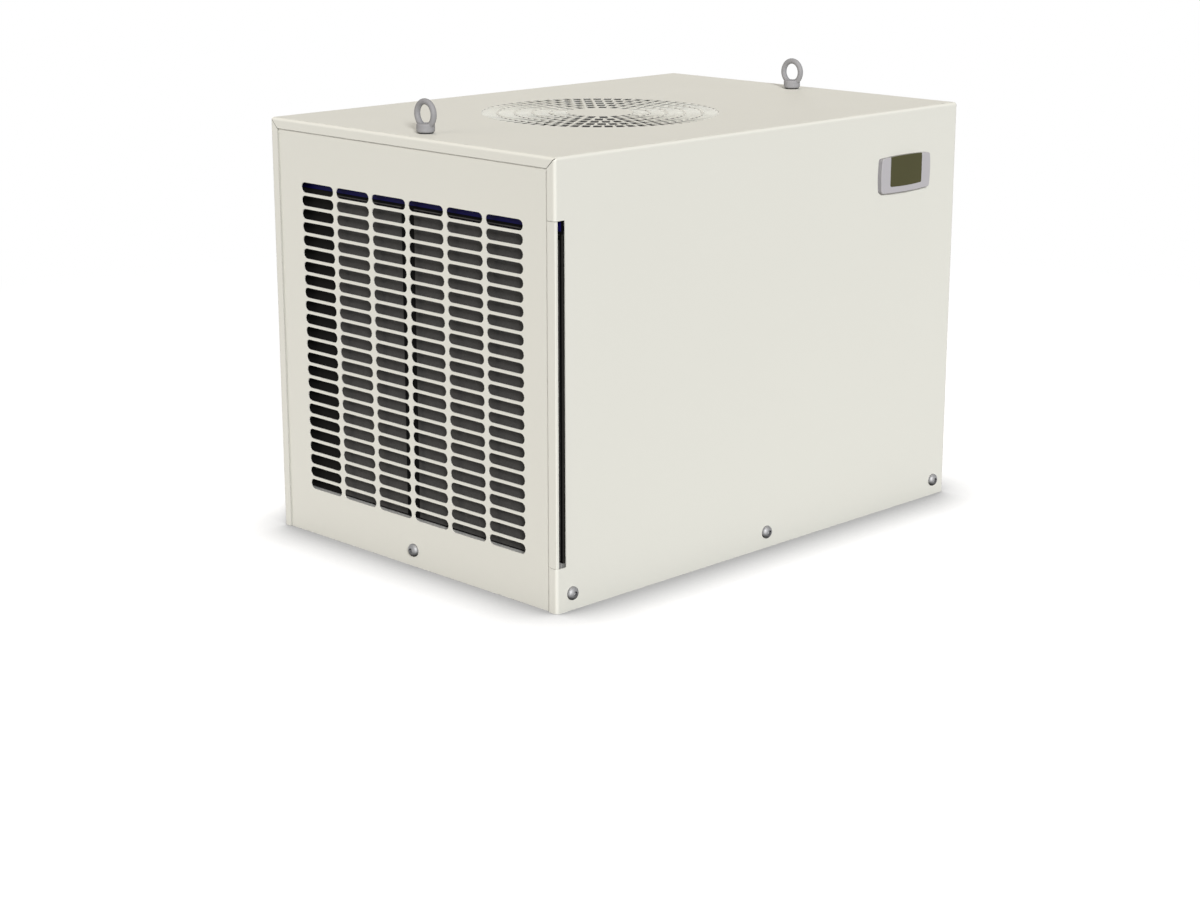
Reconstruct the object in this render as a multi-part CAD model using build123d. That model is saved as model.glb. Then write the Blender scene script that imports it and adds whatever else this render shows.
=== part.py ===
"""Enclosure roof air conditioner: a folded sheet-steel hood over a base tray.

Millimetres, +Z up. The origin is the centre of the base's underside.
The front, with the controller, faces -Y and the louvred air intake faces -X.
"""
from build123d import *
import math
import os

# Body
body_width = 594.0
body_depth = 415.0
body_height = 430.0
sheet = 1.0
bend_radius = 3.0
return_width = 10.5
mitre_gap = 0.9
panel_set_back = 1.0
panel_edge_gap = 3.0

# Base tray
tray_sheet = 2.0
tray_upstand = 34.0
tray_corner_relief = 12.0
cover_screw_hole = 7.0
cover_screw_height = 17.0
cover_screw_inset = 20.0

# Air openings and fixing holes in the base
inlet_width = 254.0
inlet_depth = 294.0
inlet_left_land = 31.6
inlet_back_land = 36.4
outlet_leg_width = 78.0
outlet_leg_depth = 348.0
outlet_right_land = 18.6
outlet_back_land = 33.9
outlet_foot_length = 135.0
outlet_foot_width = 60.0
outlet_foot_front_land = 15.5
outlet_corner_notch = 43.6
fixing_hole = 9.0
fixing_side_land = 47.0
fixing_front_land = 19.2

# Louvred intake panel
louvre_length = 51.0
louvre_height = 10.5
louvre_end_sides = 6
louvre_column_pitch = 55.0
louvre_row_pitch = 13.46
louvre_bottom = 48.5
louvre_top_land = 49.5
louvre_side_land = 30.0

# Round exhaust grille in the roof
grille_offset = -33.0
grille_radius = 122.0
grille_centre_disc = 34.0
grille_ring_pitch = 18.0
grille_slot_length = 15.5
grille_slot_width = 8.3
grille_outer_slots = 65
grille_ring_step = 11
grille_turn = 212.7

# Corner slot beside the front, closed on the left by a strip on the intake panel
corner_slot_width = 10.4
corner_slot_bottom = 44.0
corner_slot_top_land = 57.7
strip_seam = 0.5
strip_fold = 3.1
strip_edge_radius = 1.0

# Filter behind the louvres, held between two rails
filter_panel_gap = 8.0
filter_thickness = 7.0
filter_bottom = 40.8
filter_top_land = 58.5
filter_rail_sheet = 1.2
filter_rail_end_gap = 1.0
filter_lower_lip = 6.0
filter_upper_lip = 9.8
filter_clearance = 0.3
filter_front_gap = 0.5
filter_length = 379.0
filter_front_border = 3.0
filter_foot_border = 7.0
filter_head_border = 12.8
filter_head_line = 1.4
filter_head_rib = 4.0
filter_rear_border = 55.0
filter_bar = 17.7
filter_rear_mat = 100.7
filter_mat_recess = 0.5

# Lifting eyes
eye_inset = 28.0
eye_ring_radius = 12.0
eye_bar = 6.0
eye_bar_sides = 12
eye_height = 33.5
eye_collar = 18.0
eye_collar_height = 9.5
eye_collar_edge = 0.8
eye_foot = 14.0
eye_foot_height = 1.0

# Controller
bezel_width = 81.5
bezel_height = 38.3
bezel_thickness = 5.2
bezel_bow = 1.3
bezel_corner = 3.0
bezel_edge = 0.4
controller_right_land = 91.4
controller_top_land = 65.5
controller_body_width = 71.0
controller_body_height = 29.0
controller_body_depth = 45.0
cut_out_clearance = 0.25
display_width = 52.0
display_height = 32.0
display_depth = 2.5
display_bow = 0.8
display_corner = 2.0

# Exhaust fan under the grille
fan_ring_gap = 4.0
fan_ring_sheet = 2.0
fan_ring_height = 55.0
fan_ring_flange = 12.0
fan_blades = 5
fan_blade_gap = 5.0
fan_blade_thickness = 2.5
fan_root_chord = 48.0
fan_tip_chord = 62.0
fan_root_pitch = 36.0
fan_tip_pitch = 22.0
fan_hub_radius = 45.0
fan_hub_height = 32.0
fan_motor_radius = 38.0
fan_motor_height = 12.0
fan_root_gap = 1.0
fan_struts = 3
fan_strut_width = 12.0
fan_strut_thickness = 3.0

# Condenser
coil_thickness = 40.0
coil_plate = 1.5
condenser_left_gap = 14.0
condenser_end_gap = 22.0
condenser_top_gap = 30.0

# Cold chamber over the base's openings
cover_wall = 6.0
cover_height = 150.0
cover_land = 3.5
evaporator_roof_gap = 0.3

# Inlet fan in the cold chamber
wheel_radius = 100.0
wheel_eye_radius = 66.0
wheel_height = 62.0
wheel_sheet = 2.0
wheel_blades = 9
wheel_blade_inner = 62.0
wheel_blade_sweep = 38.0
wheel_motor_radius = 45.0
wheel_motor_height = 32.0

# Places worked out from the sizes above
half_width = body_width / 2
half_depth = body_depth / 2
panel_outer = half_width - sheet - panel_set_back
panel_inner = panel_outer - sheet
wall_inner = half_depth - sheet
roof_underside = body_height - sheet
panel_half_depth = wall_inner - panel_edge_gap
panel_top = roof_underside - panel_edge_gap
corner_slot_inner = -panel_outer + corner_slot_width
corner_slot_top = body_height - corner_slot_top_land
filter_top = body_height - filter_top_land
filter_outer = -panel_inner + filter_panel_gap + filter_rail_sheet + filter_clearance
filter_inner = filter_outer + filter_thickness
filter_front = -panel_half_depth + filter_front_gap
filter_back = filter_front + filter_length
inlet_x = (-half_width + inlet_left_land, -half_width + inlet_left_land + inlet_width)
inlet_y = (half_depth - inlet_back_land - inlet_depth, half_depth - inlet_back_land)
outlet_right = half_width - outlet_right_land
outlet_left = outlet_right - outlet_leg_width
outlet_back = half_depth - outlet_back_land
outlet_leg_front = outlet_back - outlet_leg_depth
outlet_foot_front = -half_depth + outlet_foot_front_land
outlet_foot_back = outlet_foot_front + outlet_foot_width
outlet_foot_left = outlet_left - outlet_foot_length
outlet_foot_right = outlet_right - outlet_corner_notch
cover_x = (inlet_x[0] - cover_land, outlet_right + cover_land)
cover_y = (min(outlet_foot_front, inlet_y[0]) - cover_land, max(outlet_back, inlet_y[1]) + cover_land)
cover_top = tray_sheet + cover_height
fan_ring_radius = grille_radius + fan_ring_gap
fan_ring_bottom = roof_underside - fan_ring_height
controller_x = half_width - controller_right_land
controller_z = body_height - controller_top_land


def block(x, y, z):
    """A box between two limits along each axis."""
    centre = [(low + high) / 2 for low, high in (x, y, z)]
    size = [high - low for low, high in (x, y, z)]
    return Pos(*centre) * Box(*size)


def folded_box(width, depth, height, radius):
    """A box standing on the base plane with rounded upright and top edges."""
    box = Pos(0, 0, height / 2) * Box(width, depth, height)
    return fillet(box.edges().filter_by(Axis.Z) + box.edges().group_by(Axis.Z)[-1], radius)


def disc(radius, low, high):
    """An upright cylinder on the Z axis between two heights."""
    return Pos(0, 0, (low + high) / 2) * Cylinder(radius, high - low)


def cover_screw_places():
    """Centres of the cover screws along the front and back walls."""
    edge = half_width - cover_screw_inset
    return [-edge, 0, edge]


def front_back_screw_holes():
    """Holes for the cover screws, through the front and back walls and the tray's upstands."""
    pin = Rot(90, 0, 0) * Cylinder(cover_screw_hole / 2, body_depth + 2 * sheet)
    return [Pos(x, 0, cover_screw_height) * pin for x in cover_screw_places()]


def side_screw_hole():
    """Hole for the one screw in each side panel."""
    return Pos(0, 0, cover_screw_height) * Rot(0, 90, 0) * Cylinder(cover_screw_hole / 2, body_width)


def mitre_slits():
    """Slits where the roof's returns meet those of the front and back walls."""
    length = return_width * math.sqrt(2) + 2 * mitre_gap
    middle = return_width / 2 + mitre_gap / math.sqrt(2)
    return [
        Pos(side * (half_width - sheet / 2), end * (half_depth - middle), body_height - middle)
        * Rot(end * 45, 0, 0)
        * Box(4 * sheet, length, mitre_gap)
        for side in (-1, 1)
        for end in (-1, 1)
    ]


def grille_slots():
    """Rings of radial slots round a blank centre disc, each ring with fewer slots than the one outside it."""
    slots = []
    land = grille_ring_pitch - grille_slot_length
    rings = int((grille_radius - grille_centre_disc + land) / grille_ring_pitch)
    for ring in range(rings):
        radius = grille_radius - grille_slot_length / 2 - ring * grille_ring_pitch
        count = grille_outer_slots - ring * grille_ring_step
        slot = Box(grille_slot_length, grille_slot_width, 4 * sheet)
        places = PolarLocations(radius, count, start_angle=grille_turn)
        slots += [Pos(grille_offset, 0, body_height - sheet / 2) * place * slot for place in places]
    return slots


def hood():
    """Front wall, roof and back wall folded from one sheet, with returns round both sides."""
    shell = folded_box(body_width, body_depth, body_height, bend_radius)
    shell -= folded_box(body_width - 2 * sheet, body_depth - 2 * sheet, roof_underside, bend_radius - sheet)
    opening_half = half_depth - return_width
    shell -= block(
        (-body_width, body_width), (-opening_half, opening_half), (-sheet, body_height - return_width)
    )
    shell -= mitre_slits()
    shell -= block(
        (-body_width, corner_slot_inner),
        (-body_depth, -opening_half + sheet),
        (corner_slot_bottom, corner_slot_top),
    )
    shell -= Pos(controller_x, -half_depth, controller_z) * Box(
        controller_body_width + 2 * cut_out_clearance,
        4 * sheet,
        controller_body_height + 2 * cut_out_clearance,
    )
    shell -= front_back_screw_holes()
    return shell - grille_slots()


def side_panel(side):
    """Flat sheet behind the hood's returns on one side."""
    x = sorted((side * panel_outer, side * panel_inner))
    panel = block(x, (-panel_half_depth, panel_half_depth), (0, panel_top))
    return panel - side_screw_hole()


def louvre_outline():
    """Slot whose round ends are drawn with a few straight sides."""
    radius = louvre_height / 2
    reach = louvre_length / 2 - radius
    points = []
    for end, start in ((reach, -90), (-reach, 90)):
        for step in range(louvre_end_sides + 1):
            turn = math.radians(start + 180 * step / louvre_end_sides)
            points.append((end + radius * math.cos(turn), radius * math.sin(turn)))
    return make_face(Polyline(*points, close=True))


def louvred_panel():
    """Left panel with rows of round-ended slots and the strip that closes the front corner."""
    panel = side_panel(-1)
    opening_depth = body_depth - 2 * return_width
    column_gap = louvre_column_pitch - louvre_length
    row_gap = louvre_row_pitch - louvre_height
    columns = int((opening_depth - 2 * louvre_side_land + column_gap) / louvre_column_pitch)
    opening_height = body_height - return_width
    rows = int((opening_height - louvre_bottom - louvre_top_land + row_gap) / louvre_row_pitch)
    field_middle = louvre_bottom + louvre_height / 2 + (rows - 1) * louvre_row_pitch / 2
    grid = GridLocations(louvre_column_pitch, louvre_row_pitch, columns, rows)
    slot = extrude(louvre_outline(), 2 * sheet, both=True)
    face = Plane((-panel_outer, 0, field_middle), x_dir=(0, 1, 0), z_dir=(1, 0, 0)).location
    panel -= [face * place * slot for place in grid]
    z = (corner_slot_bottom + strip_seam, corner_slot_top - strip_seam)
    strip = block((-half_width, -panel_outer), (-half_depth, -half_depth + return_width), z)
    strip += block((-half_width, -half_width + strip_fold), (-half_depth, -half_depth + sheet), z)
    corner = strip.edges().filter_by(Axis.Z).sort_by(lambda edge: edge.center().X + edge.center().Y)[0]
    return panel + fillet(corner, strip_edge_radius)


def outlet_outline():
    """L-shaped cold air outlet, with a step round the front right fixing hole."""
    points = [
        (outlet_left, outlet_back),
        (outlet_right, outlet_back),
        (outlet_right, outlet_leg_front),
        (outlet_foot_right, outlet_leg_front),
        (outlet_foot_right, outlet_foot_front),
        (outlet_foot_left, outlet_foot_front),
        (outlet_foot_left, outlet_foot_back),
        (outlet_left, outlet_foot_back),
    ]
    return make_face(Polyline(*points, close=True))


def fixing_places():
    """Centres of the holes that bolt the base to the enclosure's roof."""
    x = half_width - fixing_side_land
    y = half_depth - fixing_front_land
    return [(px, py) for px in (-x, 0, x) for py in (-y, y)]


def base_tray():
    """Base plate with upstands on all four sides, two air openings and the fixing holes."""
    tray = block((-panel_inner, panel_inner), (-wall_inner, wall_inner), (0, tray_upstand))
    tray -= block(
        (-panel_inner + tray_sheet, panel_inner - tray_sheet),
        (-wall_inner + tray_sheet, wall_inner - tray_sheet),
        (tray_sheet, 2 * tray_upstand),
    )
    relief = Box(2 * tray_corner_relief, 2 * tray_corner_relief, 2 * (tray_upstand - tray_sheet))
    corners = [(x, y) for x in (-panel_inner, panel_inner) for y in (-wall_inner, wall_inner)]
    tray -= [Pos(x, y, tray_upstand) * relief for x, y in corners]
    tray -= block(inlet_x, inlet_y, (0, tray_sheet))
    tray -= extrude(outlet_outline(), tray_sheet)
    tray -= [Pos(x, y, 0) * disc(fixing_hole / 2, 0, tray_sheet) for x, y in fixing_places()]
    tray -= front_back_screw_holes()
    return tray - side_screw_hole()


def lifting_eye():
    """Forged ring on a round collar with a narrower foot, the ring's hole facing left and right."""
    collar = disc(eye_collar / 2, eye_foot_height, eye_collar_height)
    collar = chamfer(collar.edges().filter_by(GeomType.CIRCLE), eye_collar_edge)
    bar = Pos(eye_ring_radius, 0) * RegularPolygon(eye_bar / 2, eye_bar_sides)
    ring = Rot(0, 90, 0) * revolve(Plane.XZ * bar, Axis.Z)
    ring_centre = eye_height - eye_ring_radius - eye_bar / 2
    return disc(eye_foot / 2, 0, eye_foot_height) + collar + Pos(0, 0, ring_centre) * ring


def lifting_eyes():
    """Pair of lifting eyes on the roof, near its left and right edges."""
    x = half_width - eye_inset
    return Compound([Pos(side * x, 0, body_height) * lifting_eye() for side in (-1, 1)])


def bezel_outline():
    """Rectangle whose four sides bow outwards, with rounded corners."""
    x = bezel_width / 2
    y = bezel_height / 2
    corners = [(px * (x - bezel_bow), py * (y - bezel_bow)) for px, py in ((1, -1), (1, 1), (-1, 1), (-1, -1))]
    crowns = [(x, 0), (0, y), (-x, 0), (0, -y)]
    sides = [ThreePointArc(a, crown, b) for a, crown, b in zip(corners, crowns, corners[1:] + corners[:1])]
    return fillet(make_face(sides).vertices(), bezel_corner)


def display_outline():
    """Window open at the bezel's top edge, with a bowed lower side and rounded lower corners."""
    x = display_width / 2
    top = bezel_height / 2
    low = top - display_height
    lower = ThreePointArc((-x, low + display_bow), (0, low), (x, low + display_bow))
    rest = Polyline((x, low + display_bow), (x, top), (-x, top), (-x, low + display_bow))
    window = make_face([lower, rest])
    return fillet(window.vertices().group_by(Axis.Y)[0], display_corner)


def on_front_wall():
    """Place on the front wall at the controller, X to the right and Y up, facing outwards."""
    return Plane((controller_x, -half_depth, controller_z), x_dir=(1, 0, 0), z_dir=(0, -1, 0))


def controller_front():
    """The controller's front with a rounded edge, before the display is parted from it."""
    front = extrude(bezel_outline(), bezel_thickness)
    return fillet(front.edges().group_by(Axis.Z)[-1], bezel_edge)


def display_prism():
    """Space that the display takes up in the controller's front."""
    return Pos(0, 0, bezel_thickness - display_depth) * extrude(display_outline(), display_depth)


def controller_bezel():
    """Bezel on the front wall, with a recess for the display and a body through the wall."""
    body = Pos(0, 0, -controller_body_depth / 2) * Box(
        controller_body_width, controller_body_height, controller_body_depth
    )
    return on_front_wall() * (controller_front() - display_prism() + body)


def controller_display():
    """Dark display glass that carries on the bezel's rounded top edge."""
    return on_front_wall() * (controller_front() & display_prism())


def mat_z():
    """Height limits of the mats in the cassette frame."""
    return filter_bottom + filter_foot_border, filter_top - filter_head_border


def filter_frame():
    """Cassette frame with an upright bar between its two mats and a rib across each mat's head."""
    z = (filter_bottom + filter_clearance, filter_top - filter_clearance)
    frame = block((filter_outer, filter_inner), (filter_front, filter_back), z)
    frame -= [block((-body_width, 0), y, mat_z()) for y in mat_y()]
    rib_top = mat_z()[1] - filter_head_line
    rib_x = (filter_outer, filter_outer + filter_mat_recess)
    return frame + [block(rib_x, y, (rib_top - filter_head_rib, rib_top)) for y in mat_y()]


def mat_y():
    """Depth limits of the front and rear mats."""
    rear_end = filter_back - filter_rear_border
    rear_start = rear_end - filter_rear_mat
    return (filter_front + filter_front_border, rear_start - filter_bar), (rear_start, rear_end)


def filter_mat(y):
    """Filter mat set back in the cassette frame."""
    x = (filter_outer + filter_mat_recess, filter_inner - filter_mat_recess)
    return block(x, y, mat_z())


def filter_rail(lips, web):
    """Channel along one edge of the filter: two lips on a web that reaches to the intake panel."""
    left = filter_outer - filter_clearance
    right = filter_inner + filter_clearance
    y = (-panel_half_depth + filter_rail_end_gap, panel_half_depth)
    rail = block((left - filter_rail_sheet, left), y, lips)
    rail += block((right, right + filter_rail_sheet), y, lips)
    return rail + block((-panel_inner, right + filter_rail_sheet), y, web)


def filter_rail_lower():
    """Lower rail, whose foot stands on the tray's upstand."""
    low = filter_bottom - filter_rail_sheet
    foot = block(
        (-panel_inner, -panel_inner + filter_rail_sheet),
        (-panel_half_depth, panel_half_depth),
        (tray_upstand, filter_bottom),
    )
    return filter_rail((low, filter_bottom + filter_lower_lip), (low, filter_bottom)) + foot


def filter_rail_upper():
    """Upper rail, fixed to the panel over the filter."""
    high = filter_top + filter_rail_sheet
    return filter_rail((filter_top - filter_upper_lip, high), (filter_top, high))


def fan_ring():
    """Duct ring with a flange under the roof."""
    inner = fan_ring_radius
    outer = inner + fan_ring_sheet
    profile = make_face(
        Polyline(
            (inner, fan_ring_bottom),
            (outer, fan_ring_bottom),
            (outer, roof_underside - fan_ring_sheet),
            (inner + fan_ring_flange, roof_underside - fan_ring_sheet),
            (inner + fan_ring_flange, roof_underside),
            (inner, roof_underside),
            close=True,
        )
    )
    return Pos(grille_offset, 0, 0) * revolve(Plane.XZ * profile, Axis.Z)


def fan_bracket():
    """Flat struts from the ring's lower edge to a plate that carries the motor."""
    low = fan_ring_bottom - fan_strut_thickness
    bracket = disc(fan_motor_radius + fan_strut_width, low, fan_ring_bottom)
    reach = fan_ring_radius + fan_ring_sheet
    strut = block((0, reach), (-fan_strut_width / 2, fan_strut_width / 2), (low, fan_ring_bottom))
    bracket += [place * strut for place in PolarLocations(0, fan_struts)]
    return Pos(grille_offset, 0, 0) * bracket


def fan_motor():
    """Motor on the bracket's plate."""
    return Pos(grille_offset, 0, 0) * disc(
        fan_motor_radius, fan_ring_bottom, fan_ring_bottom + fan_motor_height
    )


def fan_blade(middle):
    """Twisted blade from the hub to near the ring."""
    tip = fan_ring_radius - fan_blade_gap
    sections = []
    for radius, chord, pitch in (
        (fan_motor_radius + fan_root_gap, fan_root_chord, fan_root_pitch),
        (tip, fan_tip_chord, fan_tip_pitch),
    ):
        plane = Plane((radius, 0, middle), x_dir=(0, 1, 0), z_dir=(1, 0, 0))
        sections.append(plane * Rot(0, 0, pitch) * Rectangle(chord, fan_blade_thickness))
    return loft(sections)


def fan_rotor():
    """Hub with twisted blades, on the motor."""
    low = fan_ring_bottom + fan_motor_height
    hub = disc(fan_hub_radius, low, low + fan_hub_height)
    blade = fan_blade(low + fan_hub_height / 2)
    rotor = hub + [place * blade for place in PolarLocations(0, fan_blades)]
    return Pos(grille_offset, 0, 0) * rotor


def condenser_places():
    """Depth limits of the condenser's fin pack and its height limits."""
    end = wall_inner - condenser_end_gap
    return (-end, end), (cover_top, roof_underside - condenser_top_gap)


def condenser_x():
    """Limits of the condenser across the unit, behind the filter."""
    left = filter_inner + condenser_left_gap
    return left, left + coil_thickness


def cold_chamber_cover():
    """Insulated box, open below, that closes the cold side over the base's openings."""
    x = (cover_x[0] - cover_wall, cover_x[1] + cover_wall)
    y = (cover_y[0] - cover_wall, cover_y[1] + cover_wall)
    return block(x, y, (tray_sheet, cover_top)) - block(cover_x, cover_y, (0, cover_top - cover_wall))


def evaporator_x():
    """Limits of the evaporator across the unit, between the inlet and the outlet."""
    middle = (inlet_x[1] + outlet_foot_left) / 2
    return middle - coil_thickness / 2, middle + coil_thickness / 2


def evaporator_z():
    """Height limits of the evaporator, from the base plate to the cover's ceiling."""
    return tray_sheet, cover_top - cover_wall - evaporator_roof_gap


def wheel_place():
    """Axis of the inlet fan, over the middle of the inlet."""
    return Pos(sum(inlet_x) / 2, sum(inlet_y) / 2, 0)


def wheel_top():
    """Upper face of the fan wheel, under its motor."""
    return cover_top - cover_wall - wheel_motor_height


def inlet_fan_motor():
    """Motor hung from the cold chamber's ceiling."""
    return wheel_place() * disc(wheel_motor_radius, wheel_top(), cover_top - cover_wall)


def inlet_fan_wheel():
    """Radial wheel: back disc, swept blades and a ring round the eye."""
    top = wheel_top()
    low = top - wheel_height
    wheel = disc(wheel_radius, top - wheel_sheet, top)
    ring = disc(wheel_radius, low, low + wheel_sheet) - disc(wheel_eye_radius, low, low + wheel_sheet)
    sweep = math.radians(wheel_blade_sweep)
    tip_radius = wheel_radius - wheel_sheet
    tip = (tip_radius * math.cos(sweep), tip_radius * math.sin(sweep))
    path = RadiusArc((wheel_blade_inner, 0), tip, wheel_radius)
    blade = Pos(0, 0, low) * extrude(trace(path, wheel_sheet), wheel_height)
    wheel += [ring] + [place * blade for place in PolarLocations(0, wheel_blades)]
    return wheel_place() * wheel


def coil_nodes(name, x, y, z):
    """Fin pack of a coil and the two plates that close its ends."""
    front = y[0] + coil_plate
    rear = y[1] - coil_plate
    return {
        name + "_fins": block(x, (front, rear), z),
        name + "_end_plate_front": block(x, (y[0], front), z),
        name + "_end_plate_rear": block(x, (rear, y[1]), z),
    }


def all_nodes():
    """Every piece of the unit by its name."""
    front_mat, rear_mat = mat_y()
    nodes = {
        "hood": hood(),
        "left_side_panel": louvred_panel(),
        "right_side_panel": side_panel(1),
        "base_tray": base_tray(),
        "lifting_eyes": lifting_eyes(),
        "controller_bezel": controller_bezel(),
        "controller_display": controller_display(),
        "filter_frame": filter_frame(),
        "filter_mat_front": filter_mat(front_mat),
        "filter_mat_rear": filter_mat(rear_mat),
        "filter_rail_lower": filter_rail_lower(),
        "filter_rail_upper": filter_rail_upper(),
        "fan_ring": fan_ring(),
        "fan_bracket": fan_bracket(),
        "fan_motor": fan_motor(),
        "fan_rotor": fan_rotor(),
        "cold_chamber_cover": cold_chamber_cover(),
        "inlet_fan_motor": inlet_fan_motor(),
        "inlet_fan_wheel": inlet_fan_wheel(),
    }
    nodes.update(coil_nodes("condenser", condenser_x(), *condenser_places()))
    nodes.update(coil_nodes("evaporator", evaporator_x(), cover_y, evaporator_z()))
    return nodes


os.makedirs("parts", exist_ok=True)
for node_name, solid in all_nodes().items():
    export_step(solid, f"parts/{node_name}.step")
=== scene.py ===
"""Finishes, fasteners, inner coils and a plain studio for an enclosure roof air conditioner."""
import math

import bmesh
import bpy
from bpy.props import FloatProperty, FloatVectorProperty, IntProperty, PointerProperty
from mathutils import Matrix, Vector


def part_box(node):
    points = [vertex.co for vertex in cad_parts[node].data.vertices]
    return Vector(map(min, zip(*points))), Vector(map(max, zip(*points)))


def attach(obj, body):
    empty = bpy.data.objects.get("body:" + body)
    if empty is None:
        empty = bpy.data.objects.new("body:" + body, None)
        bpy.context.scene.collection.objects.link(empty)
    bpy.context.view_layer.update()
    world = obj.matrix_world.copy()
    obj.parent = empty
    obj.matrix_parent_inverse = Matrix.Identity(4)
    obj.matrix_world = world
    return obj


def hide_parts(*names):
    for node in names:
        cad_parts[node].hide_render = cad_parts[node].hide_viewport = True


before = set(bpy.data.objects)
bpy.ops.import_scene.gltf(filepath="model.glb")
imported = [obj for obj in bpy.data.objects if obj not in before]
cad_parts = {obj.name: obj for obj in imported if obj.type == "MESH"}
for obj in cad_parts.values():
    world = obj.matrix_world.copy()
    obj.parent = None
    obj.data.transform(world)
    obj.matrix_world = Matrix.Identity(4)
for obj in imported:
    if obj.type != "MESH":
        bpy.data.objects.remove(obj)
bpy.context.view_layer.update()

bl_info = {
    "name": "Roof Unit Finish",
    "version": (1, 0, 0),
    "blender": (4, 5, 0),
    "location": "3D View > Sidebar > Roof Unit",
    "description": "Finishes the solids of a roof air conditioner and sets up its studio",
    "category": "Object",
}

BODY = "root"
MM = 0.001
CREASE = math.radians(35.0)
MERGE_DISTANCE = 1e-6
SOCKET_TOLERANCE = 1e-5

# Fold edges that take painted shade: a little more than the sheet and its bend, and the least lean of their
# faces to front or back
FOLD_SHEET = 1.2 * MM
FOLD_BEND = 4.0 * MM
UPRIGHT_NORMAL = 0.6

# Grille slots: depth at which the painted shade on their ends starts, and how strongly the ends that face the
# centre take it
SLOT_EDGE_START = 0.1 * MM
SLOT_EDGE_END = 0.2 * MM
INNER_END_SHADE_SHARE = 0.6

# Depths and lengths over which other finishes change
BEZEL_RIM_START = 0.3 * MM
BEZEL_RIM_END = 0.6 * MM
FRAME_END_FADE = 1.0 * MM
FRAME_HEIGHT_FADE = 0.3 * MM

# Detail of round forms
DOME_ANGLE = math.radians(68.0)
DOME_STEPS = 7
SCREW_STEPS = 36
COLLAR_STEPS = 48
RING_STEPS = 64
BAR_SEGMENTS = 24
TUBE_SEGMENTS = 16

# Smoothing of the forged eyes, noise in the finishes and offset of the tube rows in pitches
SOFTEN_FACTOR = 0.5
SOFTEN_STEPS = 4
PATCHES_PER_CLOUD = 7.0
TUBE_STAGGER = 0.25
WHITE = (1.0, 1.0, 1.0, 1.0)


# Properties

def color(name, description, default):
    """A colour that a user can change."""
    return FloatVectorProperty(
        name=name, description=description, subtype="COLOR", size=3, min=0.0, max=1.0, default=default
    )


def length(name, description, default):
    """A length in metres that a user can change."""
    return FloatProperty(
        name=name, description=description, unit="LENGTH", min=0.0, precision=4, default=default
    )


def direction(name, description, default):
    """A direction that a user can change."""
    return FloatVectorProperty(name=name, description=description, subtype="DIRECTION", default=default)


class FinishColors(bpy.types.PropertyGroup):
    """Colours of the unit's finishes."""

    cabinet: color("Cabinet", "Powder coat of the hood and side panels", (0.703, 0.699, 0.640))
    # Painted shade for the ends of the slots in the roof's grille
    slot_end_painted_shade: color("Slot Edge", "Shaded ends of the slots in the roof's grille", (0.16, 0.157, 0.147))
    tray: color("Tray", "Powder coat of the base tray", (0.62, 0.61, 0.56))
    # Painted shade on the cut edges of the hood's folds and in their mitred corners
    fold_edge_painted_shade: color("Fold Edge", "Shaded cut edges of the hood's folds", (0.43, 0.423, 0.388))
    eyes: color("Eyes", "Grey finish of the lifting eyes", (0.265, 0.263, 0.272))
    # Painted shade: the foot under each lifting eye is coloured near black, as the collar shades it
    eye_foot_painted_shade: color("Eye Foot", "Dark foot under the lifting eyes", (0.012, 0.012, 0.012))
    screws: color("Screws", "Bright zinc of the cover screws", (0.30, 0.30, 0.305))
    # Painted shade on the downward faces of the screws
    screw_underside_painted_shade: color("Screw Shade", "Dull zinc on the undersides of the screws", (0.05, 0.05, 0.05))
    bezel: color("Bezel", "Silver-grey plastic of the controller", (0.44, 0.427, 0.445))
    bezel_rim: color("Bezel Rim", "Darker plastic of the controller's rim", (0.27, 0.262, 0.272))
    display: color("Display", "Dark olive glass of the controller", (0.060, 0.057, 0.019))
    mat: color("Mat", "Charcoal filter mat", (0.033, 0.032, 0.0305))
    black: color("Black", "Black plastic of the filter frame", (0.003, 0.003, 0.003))
    fan: color("Fan", "Dark coat of the fans", (0.030, 0.030, 0.032))
    # Painted light: the frame's front end is coloured lighter than its black plastic, as where it is lit
    frame_end: color("Frame End", "Worn front end of the filter frame", (0.026, 0.025, 0.0225))
    rail: color("Rail", "Navy coat of the upper filter rail", (0.003, 0.002, 0.060))
    galvanised: color("Galvanised", "Galvanised sheet of the lower rail and end plates", (0.42, 0.42, 0.41))
    frame_rear: color("Frame Rear", "Greyer rear border of the filter frame", (0.009, 0.0088, 0.0083))
    rail_end: color("Rail End", "Dull zinc at the front end of the lower rail", (0.22, 0.22, 0.21))
    ring: color("Ring", "Dark coat of the exhaust fan's ring", (0.030, 0.032, 0.040))
    aluminium: color("Aluminium", "Coil fins", (0.72, 0.72, 0.73))
    copper: color("Copper", "Coil tubes", (0.70, 0.34, 0.20))
    foam: color("Foam", "Insulating board of the cold chamber", (0.050, 0.050, 0.052))
    floor: color("Floor", "Studio floor", (0.35, 0.35, 0.35))


class CoverScrews(bpy.types.PropertyGroup):
    """Sizes and places of the button-head screws along the cover's lower edge."""

    head_width: length("Head Width", "Diameter of the domed head", 13.4 * MM)
    head_height: length("Head Height", "Height of the domed head", 4.6 * MM)
    head_rim: length("Head Rim", "Height of the straight rim under the dome", 0.7 * MM)
    socket_width: length("Socket Width", "Key width of the six-sided socket", 5.0 * MM)
    socket_depth: length("Socket Depth", "Depth of the socket", 2.8 * MM)
    shank_width: length("Shank Width", "Diameter of the screw in the sheet", 6.0 * MM)
    shank_length: length("Shank Length", "Length of the screw behind the head", 9.0 * MM)
    inset: length("Inset", "Distance of the end screws from the cover's sides", 20.0 * MM)
    height: length("Height", "Height of the screws above the base", 17.0 * MM)


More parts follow.
